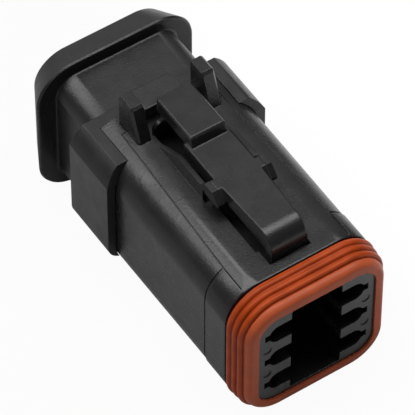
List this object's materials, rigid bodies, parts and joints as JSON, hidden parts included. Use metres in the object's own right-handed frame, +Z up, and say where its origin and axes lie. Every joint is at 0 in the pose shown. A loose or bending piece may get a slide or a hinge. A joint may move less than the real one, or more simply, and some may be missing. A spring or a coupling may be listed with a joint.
{
  "type": "sealed rectangular plug connector housing",
  "caption": "Rectangular sealed plug housing with a ribbed interface seal, a rocking latch lever between guard ears and a flanged rear cap for the wires.",
  "frame": {"origin": "centre of the bounding box's bottom, under the lowest point of the rear flange", "axes": "+Y from the mating face towards the wires, +Z up towards the latch lever, +X to the right seen from the mating face"},
  "size_m": [0.0262, 0.054, 0.0297],
  "materials": {
    "housing_plastic": "satin moulded black plastic",
    "lever_plastic": "satin moulded black plastic",
    "seal_silicone": "orange-red silicone",
    "wire_seal_silicone": "orange-red silicone",
    "cap_plastic": "satin moulded black plastic"
  },
  "bodies": {
    "connector_body": {"housing": "housing_plastic", "front_seal": "seal_silicone", "wire_seal": "wire_seal_silicone", "end_cap": "cap_plastic"},
    "latch": {"latch_lever": "lever_plastic"}
  },
  "joints": [
    {"name": "latch_rock", "type": "hinge", "parent": "connector_body", "child": "latch", "pos_m": [0, -0.00765, 0.02705], "axis": [-1, 0, 0], "range_deg": [0, 5], "stiffness_Nm_per_rad": 1}
  ]
}
